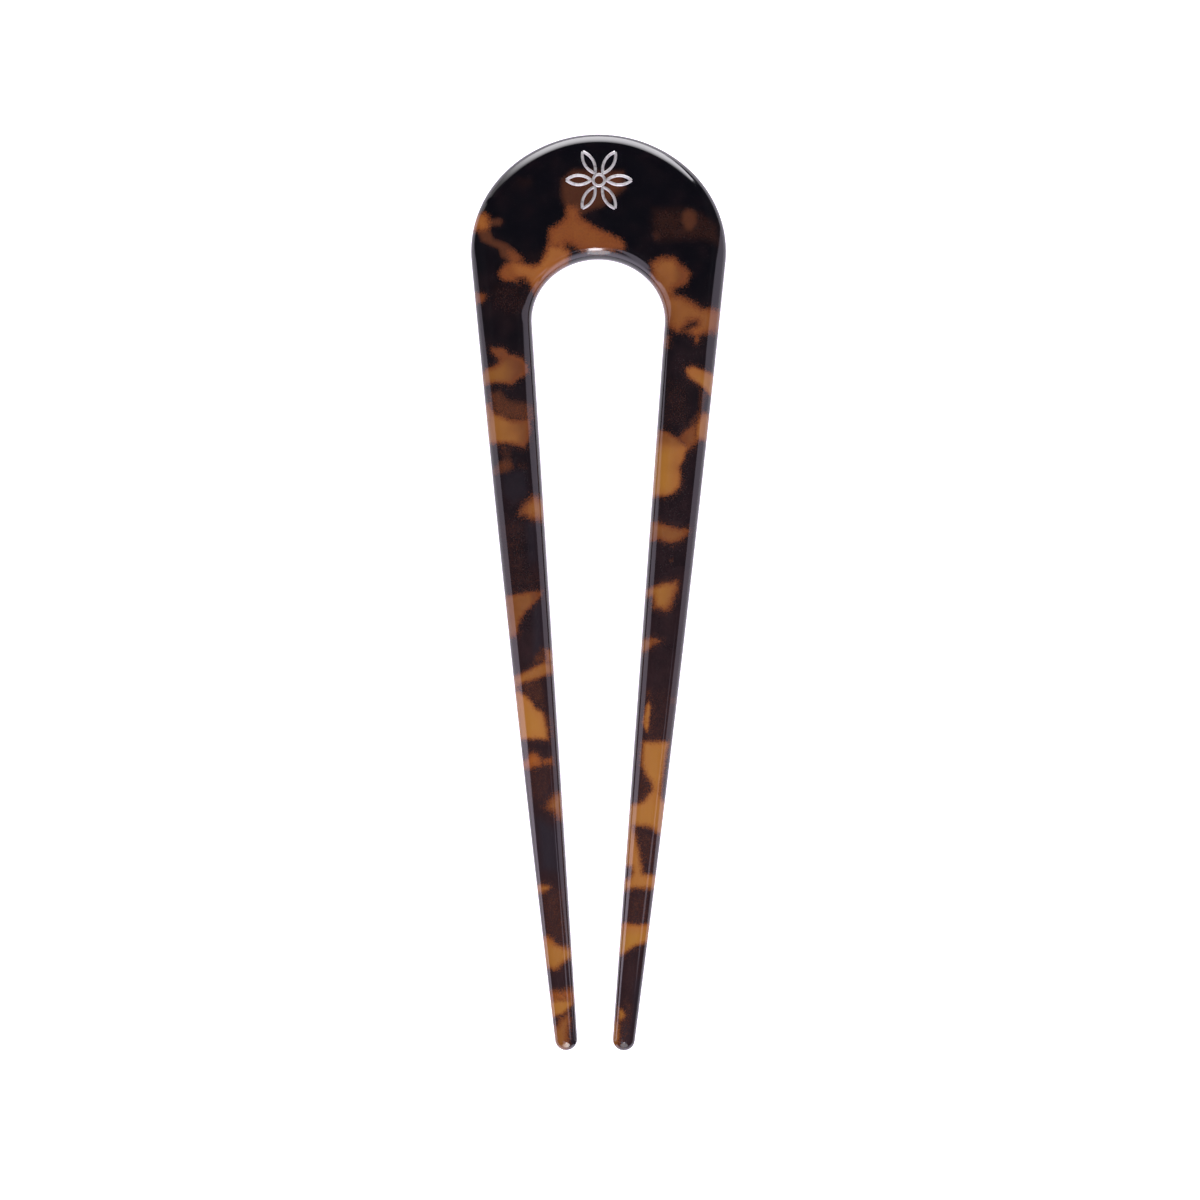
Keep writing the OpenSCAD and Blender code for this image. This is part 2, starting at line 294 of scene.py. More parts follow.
@dataclass(frozen=True)
class PinShape:
    """Outline, thickness and rounded edge of the pin, in millimetres.

    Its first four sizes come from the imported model, the rest repeat the part's own. The
    rounded edges are a little flatter than half the sheet, most of all over the crown.
    """

    crown_y: float
    end_y: float
    head_w: float
    head_t: float
    crown_h: float = 16.2
    band_h: float = 17.3
    gap_w: float = 18.4
    arch_h: float = 8.4
    tip_gap: float = 4.9
    tip_w: float = 3.1
    leg_bow: float = 0.36
    tip_t: float = 2.8
    flat_min: float = 0.1
    crown_rise: float = 0.62
    outer_rise: float = 0.75
    inner_rise: float = 0.9
    crown_from: float = 0.88
    head_steps: int = 100
    leg_steps: int = 220
    tip_steps: int = 12
    halvings: int = 50

    @property
    def head(self) -> Oval:
        """Oval that the head follows."""
        return Oval(0.0, self.crown_y - self.crown_h, self.head_w / 2, self.crown_h)

    @property
    def arch(self) -> Oval:
        """Oval that the arch follows."""
        return Oval(0.0, self.crown_y - self.band_h - self.arch_h, self.gap_w / 2, self.arch_h)

    @property
    def tip(self) -> Oval:
        """Circle that the right tip follows."""
        radius = self.tip_w / 2
        return Oval((self.tip_gap + self.tip_w) / 2, self.end_y + radius, radius, radius)

    def lean(self, oval: Oval, side: float) -> float:
        """Find the angle of a line that touches an oval and runs side past the tip's middle.

        Args:
            oval: The oval of the head or the arch.
            side: How far the line passes from the tip's middle, below 0 on its left.

        Returns:
            The angle that the line faces, in radians.
        """
        low, high = -math.pi / 4, 0.0
        for _ in range(self.halvings):
            angle = (low + high) / 2
            miss = (oval.facing(angle) - (self.tip.x, self.tip.y)) @ [np.cos(angle), np.sin(angle)]
            low, high = (low, angle) if miss > side else (angle, high)
        return (low + high) / 2

    def halves(self) -> tuple[np.ndarray, np.ndarray]:
        """Work out the right half of the outline, as rows of x, y and the angle faced.

        Returns:
            The outer edge from the tip's end up to the crown, and the inner edge from the
            top of the arch down to just before the tip's end.
        """
        head, arch, tip, up = self.head, self.arch, self.tip, math.pi / 2
        out_a, in_a = self.lean(head, tip.rx), self.lean(arch, -tip.rx)
        end_a = (out_a + in_a - math.pi) / 2
        bow_a = math.atan(4 * self.leg_bow / (arch.y - tip.y))
        low_a, high_a = out_a - bow_a, out_a + bow_a
        leg = np.linspace(0, 1, self.leg_steps + 1)[:, None]
        low, high = tip.facing(low_a), head.facing(high_a)
        pull = (low + high) / 2 + 2 * self.leg_bow * np.array([math.cos(out_a), math.sin(out_a)])
        bow = (1 - leg) ** 2 * low + 2 * leg * (1 - leg) * pull + leg ** 2 * high
        outer = np.vstack([
            tip.places(end_a, low_a, self.tip_steps)[:-1],
            np.column_stack([bow, low_a + (high_a - low_a) * leg])[:-1],
            head.places(high_a, up, self.head_steps),
        ])
        start = arch.facing(in_a)
        line = start + (tip.facing(in_a + math.pi) - start) * leg
        inner = np.vstack([
            arch.places(up, in_a, self.head_steps, math.pi),
            np.column_stack([line, np.full(len(leg), in_a + math.pi)])[1:],
            tip.places(in_a - math.pi, end_a, self.tip_steps)[1:-1],
        ])
        return outer, inner

    def outline(self) -> np.ndarray:
        """Join both halves to one loop: right tip, crown, left tip, arch.

        Returns:
            Rows of x, y and the angle faced.
        """
        def mirrored(half: np.ndarray) -> np.ndarray:
            """The same places on the left, in the opposite order."""
            return np.column_stack([-half[:, 0], half[:, 1], math.pi - half[:, 2]])[::-1]

        outer, inner = self.halves()
        return np.vstack([outer, mirrored(outer)[1:], mirrored(inner), inner[1:]])

    def down(self, y: np.ndarray) -> np.ndarray:
        """Share of the way down a leg, 0 at the arch and 1 at the tip."""
        return np.clip((self.arch.y - y) / (self.arch.y - self.tip.y), 0, 1)

    def thickness(self, y: np.ndarray) -> np.ndarray:
        """Thickness of the sheet at height y."""
        return self.head_t + (self.tip_t - self.head_t) * self.down(y) ** 2

    def edge_reach(self, y: np.ndarray) -> np.ndarray:
        """Furthest that the rounded edge can reach in from the outline at height y.

        Args:
            y: Heights in millimetres.

        Returns:
            The reach at each height.
        """
        shoulder_w = (self.head_w - self.gap_w) / 2
        wall = shoulder_w + (self.tip_w - shoulder_w) * self.down(y)
        return np.minimum(self.thickness(y), wall - self.flat_min) / 2

    def rounding(self, outline: np.ndarray) -> tuple[np.ndarray, np.ndarray]:
        """Work out how far the edge's rounding reaches in from each place, and its height.

        It changes from outer to inner around the tips.

        Args:
            outline: Rows of x, y and the angle faced.

        Returns:
            The reach and the height at each place, in millimetres.
        """
        count, turn = len(outline), self.tip_steps
        turns = (0, turn, count / 2 - turn, count / 2 + turn, count - turn, count)
        inner = np.interp(np.arange(count), turns, (0.5, 0, 0, 1, 1, 0.5))
        crown = smooth((np.sin(outline[:, 2]) - self.crown_from) / (1 - self.crown_from))
        rise = self.outer_rise + (self.inner_rise - self.outer_rise) * inner
        rise += (self.crown_rise - rise) * crown
        y = outline[:, 1]
        return self.edge_reach(y), rise * self.thickness(y) / 2

    def leg_edges(self, y: np.ndarray) -> tuple[np.ndarray, ...]:
        """Inner and outer x of the right leg at height y, straight on past the tip's middle.

        Args:
            y: Heights in millimetres.

        Returns:
            The inner and the outer x at each height.
        """
        outer, inner = self.halves()
        edges = (edge[edge[:, 1] >= self.tip.y - self.tip_w / 4] for edge in (inner[::-1], outer))
        return tuple(np.interp(np.maximum(y, self.tip.y), edge[:, 1], edge[:, 0]) for edge in edges)


@dataclass(frozen=True)
class ColourChart:
    """Turns the charted patches into smooth values on the points of the sheet."""

    shape: PinShape
    chart: dict[Zone, tuple[Patch, ...]]
    lean: tuple[float, float] = (0.12, 0.2)
    reach: float = 0.35
    far: float = -9.0

    def corners(self, zone: Zone, patch: Patch) -> np.ndarray:
        """Corners of a patch in the pin's frame, in millimetres.

        Args:
            zone: Stretch of the pin that the patch is charted on.
            patch: The patch.

        Returns:
            Rows of x and y.
        """
        across, drop = np.array(patch.corners, float).T
        y = self.shape.crown_y - drop
        if zone is Zone.HEAD:
            return np.column_stack([across, y])
        inner, outer = self.shape.leg_edges(y)
        if zone is Zone.LEFT_LEG:
            inner, outer = -outer, -inner
        return np.column_stack([inner + (outer - inner) * across / 100, y])

    @staticmethod
    def depth_inside(points: np.ndarray, corners: np.ndarray) -> np.ndarray:
        """Measure how far points lie inside a polygon, below 0 outside it.

        Args:
            points: Rows of x and y.
            corners: The polygon's corners in order, as rows of x and y.

        Returns:
            The depth of each point.
        """
        nearest = np.full(len(points), np.inf)
        inside = np.zeros(len(points), bool)
        for a, b in zip(corners, np.roll(corners, -1, 0)):
            side, away = b - a, points - a
            share = np.clip(away @ side / (side @ side), 0, 1)
            nearest = np.minimum(nearest, np.hypot(*(away - share[:, None] * side).T))
            spans = (a[1] > points[:, 1]) != (b[1] > points[:, 1])
            rise = side[1] if side[1] else 1e-9
            inside ^= spans & (points[:, 0] < a[0] + side[0] * (points[:, 1] - a[1]) / rise)
        return np.where(inside, nearest, -nearest)

    def values(self, points: np.ndarray) -> dict[str, np.ndarray]:
        """Work out the chart's values on points of the pin, given in millimetres.

        Args:
            points: Rows of x, y and z.

        Returns:
            amber, the depth inside the amber in millimetres, its tone and blur, and the
            strengths of gold, ember, russet and cool, all by attribute name.
        """
        depth = self.shape.thickness(points[:, 1]) - points[:, 2]
        flat = points[:, :2] + np.clip(depth, 0, None)[:, None] * np.array(self.lean)
        count = len(flat)
        amber = np.full(count, self.far)
        weight, tone, blur = np.full((3, count), 1e-9)
        soft = {tint: np.zeros(count) for tint in Tint if tint not in (AMBER, DARK)}
        cut = np.full(count, self.far)
        for zone, patch in ((zone, patch) for zone in self.chart for patch in self.chart[zone]):
            inside = self.depth_inside(flat, self.corners(zone, patch))
            if patch.tint is AMBER:
                amber = np.maximum(amber, inside)
                near = np.exp(np.clip(inside, self.far, 1.0) / self.reach)
                weight += near
                tone += near * patch.strength
                blur += near * patch.blur
            elif patch.tint is DARK:
                cut = np.maximum(cut, inside)
            else:
                strength = smooth((inside + patch.blur) / (2 * patch.blur)) * patch.strength
                soft[patch.tint] = np.maximum(soft[patch.tint], strength)
        tone = tone / weight - soft.pop(BROWN)
        charted = {"amber": np.minimum(amber, -cut), "tone": tone, "blur": blur / weight}
        return charted | {tint.value: strength for tint, strength in soft.items()}


Operand = Union["Value", float]


def _operator(operation: str, reflected: bool = False) -> Callable[["Value", Operand], "Value"]:
    """Make a method that adds a Math node for an operation.

    Args:
        operation: The Math node's operation.
        reflected: Whether the value stands on the right of the operator.

    Returns:
        The method.
    """
    def method(value: "Value", other: Operand) -> "Value":
        """Add the node, with its operands in their order."""
        operands = (other, value) if reflected else (value, other)
        return value.graph.add("ShaderNodeMath", {"operation": operation}, dict(enumerate(operands)))

    return method


class Value:
    """A number in a shader that takes Python's arithmetic."""

    __add__, __radd__ = _operator("ADD"), _operator("ADD", reflected=True)
    __sub__, __rsub__ = _operator("SUBTRACT"), _operator("SUBTRACT", reflected=True)
    __mul__, __rmul__ = _operator("MULTIPLY"), _operator("MULTIPLY", reflected=True)
    __truediv__ = _operator("DIVIDE")

    def __init__(self, graph: "Graph", socket: bpy.types.NodeSocket) -> None:
        """Wrap an output socket of a graph."""
        self.graph = graph
        self.socket = socket

    def ramp(self, low: Operand, high: Operand) -> "Value":
        """Rise smoothly from 0 at low to 1 at high.

        Args:
            low: Value up to which the result is 0.
            high: Value from which the result is 1.

        Returns:
            The result.
        """
        return self.graph.add(
            "ShaderNodeMapRange",
            {"interpolation_type": "SMOOTHSTEP"},
            {"Value": self, "From Min": low, "From Max": high},
        )


Input = Union[Value, float, tuple[float, ...]]


class Graph:
    """A node tree that is built from Python expressions."""

    def __init__(self, tree: bpy.types.NodeTree) -> None:
        """Start with an empty tree."""
        self.tree = tree
        tree.nodes.clear()

    def add(self, kind: str, settings: dict[str, Any] | None = None,
            inputs: dict[str | int, Input] | None = None, output: str | int = 0) -> Value:
        """Add a node, set its properties, fill its inputs and return one of its outputs.

        Args:
            kind: Type of the node.
            settings: Its properties by name.
            inputs: Values or links of its sockets, by name or number.
            output: Name or number of the output to return.

        Returns:
            The output.
        """
        node = self.tree.nodes.new(kind)
        for name, setting in (settings or {}).items():
            setattr(node, name, setting)
        for name, given in (inputs or {}).items():
            if isinstance(given, Value):
                self.tree.links.new(given.socket, node.inputs[name])
            else:
                node.inputs[name].default_value = given
        return Value(self, node.outputs[output] if node.outputs else None)

    def mix(self, low: Input, high: Input, share: Operand) -> Value:
        """Blend two colours by a share."""
        return self.add("ShaderNodeMix", {"data_type": "RGBA"}, {0: share, 6: low, 7: high}, 2)

    def surface(self, kind: str, inputs: dict[str | int, Input]) -> None:
        """Add a shader and the output that it goes to."""
        self.add("ShaderNodeOutputMaterial", inputs={"Surface": self.add(kind, inputs=inputs)})

    def place(self) -> Value:
        """Object coordinates in millimetres."""
        at = self.add("ShaderNodeTexCoord", output="Object")
        return self.add("ShaderNodeVectorMath", {"operation": "SCALE"}, {0: at, "Scale": 1 / MM})

    def attribute(self, name: str) -> Value:
        """Read a number stored on the mesh."""
        return self.add("ShaderNodeAttribute", {"attribute_name": name}, output="Fac")

    def noise(self, place: Value, size: float, detail: float = 2.0, roughness: float = 0.5) -> Value:
        """Cloudy noise from 0 to 1 around 0.5, with features about one size across.

        Args:
            place: Coordinates in millimetres.
            size: Size of a feature in millimetres.
            detail: Number of finer layers.
            roughness: Strength of the finer layers.

        Returns:
            The noise.
        """
        return self.add(
            "ShaderNodeTexNoise",
            inputs={"Vector": place, "Scale": 1 / size, "Detail": detail, "Roughness": roughness},
        )


Colour = tuple[float, float, float, float]


def new_material(name: str) -> tuple[bpy.types.Material, Graph]:
    """Start a material, with its empty graph.

    Args:
        name: Name of the material.

    Returns:
        The material and its empty graph.
    """
    material = bpy.data.materials.new(name)
    material.use_nodes = True
    return material, Graph(material.node_tree)


def new_mesh(name: str, points: Iterable[Sequence[float]], faces: list[Sequence[int]],
             material: bpy.types.Material) -> bpy.types.Mesh:
    """Make a mesh with a finish.

    Args:
        name: Name of the mesh.
        points: Places of its points, in metres.
        faces: Numbers of each face's points.
        material: Its finish.

    Returns:
        The mesh.
    """
    mesh = bpy.data.meshes.new(name)
    mesh.from_pydata(points, [], faces)
    mesh.materials.append(material)
    return mesh


def new_object(name: str, data: bpy.types.ID) -> bpy.types.Object:
    """Put a mesh, light or camera in the scene.

    Args:
        name: Name of the object.
        data: The mesh, light or camera.

    Returns:
        The object.
    """
    made = bpy.data.objects.new(name, data)
    bpy.context.collection.objects.link(made)
    return made


@dataclass(frozen=True)
class Acetate:
    """Polished tortoiseshell acetate, dark with amber and russet patches."""

    black: Colour = (0.0045, 0.0042, 0.0068, 1.0)
    umber: Colour = (0.036, 0.0165, 0.0195, 1.0)
    slate: Colour = (0.025, 0.021, 0.031, 1.0)
    russet: Colour = (0.1, 0.032, 0.016, 1.0)
    ember: Colour = (0.4, 0.1, 0.018, 1.0)
    rust: Colour = (0.22, 0.058, 0.018, 1.0)
    brown: Colour = (0.15, 0.045, 0.018, 1.0)
    honey: Colour = (0.455, 0.172, 0.04, 1.0)
    gold: Colour = (0.43, 0.185, 0.03, 1.0)
    refraction: float = 1.49
    roughness: float = 0.06

    def material(self) -> bpy.types.Material:
        """Build the material, which reads Object coordinates and the chart's attributes.

        Returns:
            The material.
        """
        material, graph = new_material("acetate")
        place = graph.place()
        ragged = graph.noise(place, 1.0) - 0.5
        grain = graph.noise(place, 0.26, roughness=0.6) - 0.5
        cloud = graph.noise(place, 2.6, detail=3.0) - 0.5
        fringe = graph.noise(place, 0.16, detail=1.0) - 0.5

        width = graph.attribute("blur") * 1.4
        inside = graph.attribute("amber") + ragged * 0.45 + grain * width * 1.8 + fringe * width * 1.6
        mask = inside.ramp(width * -0.85, width * 1.05)
        core = inside.ramp(width * -0.2, width * 2.2)

        height = graph.add("ShaderNodeSeparateXYZ", inputs={0: place}, output="Y")
        legs = 1.0 - height.ramp(30.0, 52.0)
        low = 1.0 - height.ramp(-35.0, 30.0)
        warmth = (legs * 0.26 + low * 0.47 + cloud * 0.7 + grain * 0.35).ramp(-0.1, 1.0)
        cool = graph.attribute("cool") * (0.3 + low * 0.4)
        dark = graph.mix(graph.mix(self.black, self.umber, warmth), self.slate, cool)
        russet = graph.attribute("russet")
        reddish = russet * (1.0 - legs * 0.25) + ragged * (0.15 + legs * 0.15)
        reddish = reddish + grain * (0.2 + legs * 0.25)
        dark = graph.mix(dark, self.russet, reddish.ramp(0.05, 1.05))
        specks = fringe.ramp(-0.02, 0.16) * legs
        dark = graph.mix(dark, self.rust, specks * (inside.ramp(-0.9, 0.0) * 0.3 + russet * 0.5))

        tone = (graph.attribute("tone") + cloud * 0.4 + (core - 0.8) * 0.3).ramp(-0.15, 1.15)
        amber = graph.mix(self.brown, self.honey, tone)
        amber = graph.mix(amber, self.gold, graph.attribute("gold") * 0.7)
        amber = graph.mix(amber, self.ember, graph.attribute("ember") * (0.6 + grain))
        amber = graph.mix(amber, self.rust, 0.85 - core * 0.85)

        bump = graph.add("ShaderNodeBump", inputs={
            "Strength": 0.12, "Distance": 0.05 * MM, "Height": graph.noise(place, 7.0),
        })
        graph.surface("ShaderNodeBsdfPrincipled", {
            "Base Color": graph.mix(dark, amber, mask),
            "Roughness": self.roughness + graph.noise(place, 1.6, detail=4.0) * 0.05,
            "IOR": self.refraction,
            "Normal": bump,
        })
        return material


@dataclass(frozen=True)
class Silver:
    """Softly bright silver, pressed and slightly uneven."""

    pale: Colour = (0.6, 0.575, 0.585, 1.0)
    deep: Colour = (0.3, 0.275, 0.285, 1.0)
    metal: float = 0.55
    roughness: float = 0.3

    def material(self) -> bpy.types.Material:
        """Build the material, which reads Object coordinates.

        Returns:
            The material.
        """
        material, graph = new_material("silver_foil")
        place = graph.place()
        worn = graph.noise(place, 0.5, detail=3.0, roughness=0.6)
        bump = graph.add("ShaderNodeBump", inputs={
            "Strength": 0.3, "Distance": 0.03 * MM, "Height": graph.noise(place, 0.18),
        })
        graph.surface("ShaderNodeBsdfPrincipled", {
            "Base Color": graph.mix(self.pale, self.deep, worn.ramp(0.45, 0.75)),
            "Roughness": self.roughness + worn * 0.2,
            "Metallic": self.metal,
            "Normal": bump,
        })
        return material


@dataclass(frozen=True)
class Sheet:
    """The pin itself, one piece of acetate with its colours stored on its points."""

    shape: PinShape
    chart: ColourChart
    edge_steps: int = 10
    flat_steps: int = 26

    def build(self, material: bpy.types.Material) -> bpy.types.Object:
        """Build the piece, with the chart's values as attributes.

        Args:
            material: The acetate.

        Returns:
            The piece.
        """
        outline = self.shape.outline()
        rings = self._rings(outline)
        points = np.vstack([rings.reshape(-1, 3), self._flat(rings[0]), self._flat(rings[-1])])
        faces = self._faces(len(rings), len(outline))
        mesh = new_mesh("pin_sheet", (points * MM).tolist(), faces, material)
        mesh.shade_smooth()
        for name, values in self.chart.values(points).items():
            stored = mesh.attributes.new(name, "FLOAT", "POINT")
            stored.data.foreach_set("value", values.astype(np.float32))
        return new_object("pin_sheet", mesh)

    def _rings(self, outline: np.ndarray) -> np.ndarray:
        """Rings of points over the rounded edge, from underneath to the top.

        Args:
            outline: Rows of x, y and the angle faced.

        Returns:
            Places in millimetres, by ring and along the outline.
        """
        x, y, angle = outline.T
        turn = np.linspace(0, math.pi / 2, self.edge_steps)[:, None]
        reach, rise = self.shape.rounding(outline)
        inset = reach * (1 - np.cos(turn))
        fall = rise * (1 - np.sin(turn))
        sides = np.stack([x - inset * np.cos(angle), y - inset * np.sin(angle)], -1)
        under = np.dstack([sides, fall])[::-1]
        over = np.dstack([sides, self.shape.thickness(y) - fall])
        return np.concatenate([under, over])

    def _flat(self, ring: np.ndarray) -> np.ndarray:
        """Points across the band between an edge ring's outer and inner halves.

        Args:
            ring: Places of the ring where the flat ends.

        Returns:
            Rows of x, y and z, without the ring's own places.
        """
        half = len(ring) // 2
        outer, inner = ring[1:half], ring[:half:-1]
        share = np.linspace(0, 1, self.flat_steps + 1)[1:-1, None]
        return (outer[:, None] + (inner - outer)[:, None] * share).reshape(-1, 3)

    def _faces(self, rings: int, count: int) -> list[tuple[int, ...]]:
        """Faces over the edge, underneath and on top, all facing outwards.

        Args:
            rings: Number of rings.
            count: Number of points in a ring.

        Returns:
            Numbers of each face's points.
        """
        def across(base: int, ring: int, i: int, c: int) -> int:
            """Number of the point at step i along the band and step c across it.

            Args:
                base: Number of the first point across the band.
                ring: Number of the ring's first point.
                i: Step along the band.
                c: Step across the band.

            Returns:
                The point's number.
            """
            if c == 0 or i in (0, count // 2):
                return ring + i
            if c == self.flat_steps:
                return ring + count - i
            return base + (i - 1) * (self.flat_steps - 1) + c - 1

        faces = []
        for k in range(rings - 1):
            low, high = k * count, (k + 1) * count
            for j in range(count):
                after = (j + 1) % count
                faces.append((low + j, low + after, high + after, high + j))
        under = rings * count
        over = under + (count // 2 - 1) * (self.flat_steps - 1)
        for base, ring, up in ((under, 0, False), (over, (rings - 1) * count, True)):
            for i in range(count // 2):
                for c in range(self.flat_steps):
                    steps = ((i, c), (i + 1, c), (i + 1, c + 1), (i, c + 1))
                    face = tuple(dict.fromkeys(across(base, ring, *step) for step in steps))
                    faces.append(face if up else face[::-1])
        return faces


@dataclass(frozen=True)
class Rosette:
    """Six-petal rosette drawn with one silver line, made by Geometry Nodes.

    Its middle is in metres and its sizes are in millimetres.
    """

    middle: Vector
    reach: float
    proud: float
    petals: int = 6
    petal_w: float = 1.7
    eye_d: float = 2.0
    line_w: float = 0.42
    arc_steps: int = 20
    line_steps: int = 12
    eye_steps: int = 32

    @classmethod
    def from_frame(cls) -> "Rosette":
        """Take the rosette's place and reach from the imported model.

        Returns:
            The rosette.
        """
        low, high = (Vector(corner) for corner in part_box("foil_emblem"))
        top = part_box("pin_body")[1][2]
        middle = Vector(((low.x + high.x) / 2, (low.y + high.y) / 2, top))
        return cls(middle, (high.x - low.x) / 2 / MM, (high.z - top) / MM)

    def build(self, material: bpy.types.Material) -> bpy.types.Object:
        """Build the piece as a plain mesh.

        Args:
            material: The silver.

        Returns:
            The piece.
        """
        root, end = self._ends()
        sizes = {
            "Petals": self.petals, "Bow": (self.petal_w - self.line_w) / 2 * MM, "Root": root * MM,
            "End": end * MM, "Eye": (self.eye_d - self.line_w) / 2 * MM, "Line": self.line_w / 2 * MM,
            "Flatten": self.proud / (self.line_w / 2), "Middle": self.middle, "Finish": material,
        }
        host = new_object("rosette_host", bpy.data.meshes.new("rosette_host"))
        modifier = host.modifiers.new("rosette", "NODES")
        modifier.node_group = self._tree(sizes)
        for item in modifier.node_group.interface.items_tree:
            if item.name in sizes:
                modifier[item.identifier] = sizes[item.name]
        bpy.context.view_layer.update()
        solved = host.evaluated_get(bpy.context.evaluated_depsgraph_get())
        mesh = bpy.data.meshes.new_from_object(solved)
        mesh.name = "silver_rosette"
        bpy.data.objects.remove(host)
        return new_object("silver_rosette", mesh)

    def _ends(self) -> tuple[float, float]:
        """Where the middle of a petal's line meets its axis, near the eye and at the end.

        Returns:
            Both distances from the rosette's middle, in millimetres.
        """
        root = (self.eye_d - self.line_w) / 2
        span = self.reach - root
        arc_r = (span ** 2 + self.petal_w ** 2) / self.petal_w / 4
        half = math.sqrt((arc_r - self.line_w / 2) ** 2 - (arc_r - self.petal_w / 2) ** 2)
        return root + span / 2 - half, root + span / 2 + half

    def _tree(self, names: Iterable[str]) -> bpy.types.NodeTree:
        """Build the node tree, with its sizes as inputs of the given names.

        Args:
            names: Names of the inputs.

        Returns:
            The tree.
        """
        tree = bpy.data.node_groups.new("rosette", "GeometryNodeTree")
        tree.is_modifier = True
        graph = Graph(tree)
        face = tree.interface
        kinds = {"Petals": "Int", "Middle": "Vector", "Finish": "Material"}
        for name in names:
            kind = kinds.get(name, "Float")
            face.new_socket(name, in_out="INPUT", socket_type=f"NodeSocket{kind}")
        face.new_socket("Geometry", in_out="OUTPUT", socket_type="NodeSocketGeometry")
        given = tree.nodes.new("NodeGroupInput")
        size = {socket.name: Value(graph, socket) for socket in given.outputs if socket.name}

        profile = self._circle(graph, self.line_steps, size["Line"])
        root = graph.add("ShaderNodeCombineXYZ", inputs={"X": size["Root"]})
        end = graph.add("ShaderNodeCombineXYZ", inputs={"X": size["End"]})
        sides = []
        for side in (1.0, -1.0):
            centre = {"X": (size["Root"] + size["End"]) / 2.0, "Y": size["Bow"] * side}
            top = graph.add("ShaderNodeCombineXYZ", inputs=centre)
            ends = {"Resolution": self.arc_steps, "Start": root, "Middle": top, "End": end}
            sides.append(graph.add("GeometryNodeCurveArc", {"mode": "POINTS"}, ends))
        petal = self._swept(graph, self._joined(graph, sides), profile)
        seats = graph.add("GeometryNodePoints", inputs={"Count": size["Petals"]})
        angle = graph.add("GeometryNodeInputIndex") * math.tau / size["Petals"]
        turn = graph.add("ShaderNodeCombineXYZ", inputs={"Z": angle})
        placed = {"Points": seats, "Instance": petal, "Rotation": turn}
        ring = graph.add("GeometryNodeInstanceOnPoints", inputs=placed)
        eye = self._swept(graph, self._circle(graph, self.eye_steps, size["Eye"]), profile)
        squash = graph.add("ShaderNodeCombineXYZ", inputs={"X": 1.0, "Y": 1.0, "Z": size["Flatten"]})
        result = graph.add("GeometryNodeTransform", inputs={
            "Geometry": self._joined(graph, [ring, eye]), "Translation": size["Middle"], "Scale": squash,
        })
        for step in ("RealizeInstances", "SetShadeSmooth"):
            result = graph.add(f"GeometryNode{step}", inputs={"Geometry": result})
        dressed = {"Geometry": result, "Material": size["Finish"]}
        result = graph.add("GeometryNodeSetMaterial", inputs=dressed)
        out = tree.nodes.new("NodeGroupOutput")
        tree.links.new(result.socket, out.inputs[0])
        return tree

    @staticmethod
    def _circle(graph: Graph, steps: int, radius: Value) -> Value:
        """Draw a circle."""
        sizes = {"Resolution": steps, "Radius": radius}
        return graph.add("GeometryNodeCurvePrimitiveCircle", inputs=sizes)

    @staticmethod
    def _joined(graph: Graph, parts: list[Value]) -> Value:
        """Join geometries.

        Args:
            graph: Graph of the node tree.
            parts: The geometries.

        Returns:
            The joined geometry.
        """
        join = graph.tree.nodes.new("GeometryNodeJoinGeometry")
        for part in parts:
            graph.tree.links.new(part.socket, join.inputs[0])
        return Value(graph, join.outputs[0])

    @staticmethod
    def _swept(graph: Graph, path: Value, profile: Value) -> Value:
        """Sweep a profile along a path, with closed ends."""
        curves = {"Curve": path, "Profile Curve": profile, "Fill Caps": True}
        return graph.add("GeometryNodeCurveToMesh", inputs=curves)


@dataclass(frozen=True)
class Fade:
    """Fading of a card's glow along a direction, between two distances from the origin."""

    along: tuple[float, float, float]
    start: float
    stop: float
    left: float = 0.0


@dataclass(frozen=True)
class LightCard:
    """An upright glowing card that shows in the pin's polish, but not to the camera.

    It stands across an axis at a distance. A corner is (along, up): how far it lies along
    the other level axis, and its height. Sizes are in metres. The lamp does the lighting.
    """

    name: str
    radiance: float
    axis: str
    distance: float
    corners: Corners
    fades: tuple[Fade, ...] = ()
    colour: Colour = (1.0, 0.9, 1.1, 1.0)

    def build(self) -> None:
        """Build the card."""
        points = [(along, self.distance, up) for along, up in self.corners]
        if self.axis == "x":
            points = [(y, x, z) for x, y, z in points]
        material, graph = new_material(self.name)
        at = graph.add("ShaderNodeTexCoord", output="Object")
        glow: Operand = self.radiance
        for fade in self.fades:
            dot = {"operation": "DOT_PRODUCT"}
            along = graph.add("ShaderNodeVectorMath", dot, {0: at, 1: fade.along}, "Value")
            glow = (1.0 - along.ramp(fade.start, fade.stop) * (1 - fade.left)) * glow
        graph.surface("ShaderNodeEmission", {"Color": self.colour, "Strength": glow})
        hang(self.name, points, [range(len(points))], material)


@dataclass(frozen=True)
class Screen:
    """A black screen that stands along a path and keeps a card out of part of the polish.

    Its sizes are in metres.
    """

    name: str
    path: Corners
    low: float
    high: float

    def build(self) -> None:
        """Build the screen."""
        material, graph = new_material(self.name)
        graph.surface("ShaderNodeEmission", {"Strength": 0.0})
        count = len(self.path)
        points = [(x, y, z) for z in (self.low, self.high) for x, y in self.path]
        faces = [(i, i + 1, count + i + 1, count + i) for i in range(count - 1)]
        hang(self.name, points, faces, material)


def hang(name: str, points: Sequence[tuple[float, ...]], faces: list[Sequence[int]],
         material: bpy.types.Material) -> None:
    """Hang up a card or screen, which shows only in the polish.

    Args:
        name: Name of the card or screen.
        points: Places of its points, in metres.
        faces: Numbers of each face's points.
        material: Its finish.
    """
    card = new_object(name, new_mesh(name, points, faces, material))
    card.visible_camera = False
    card.visible_shadow = False
    card.visible_diffuse = False


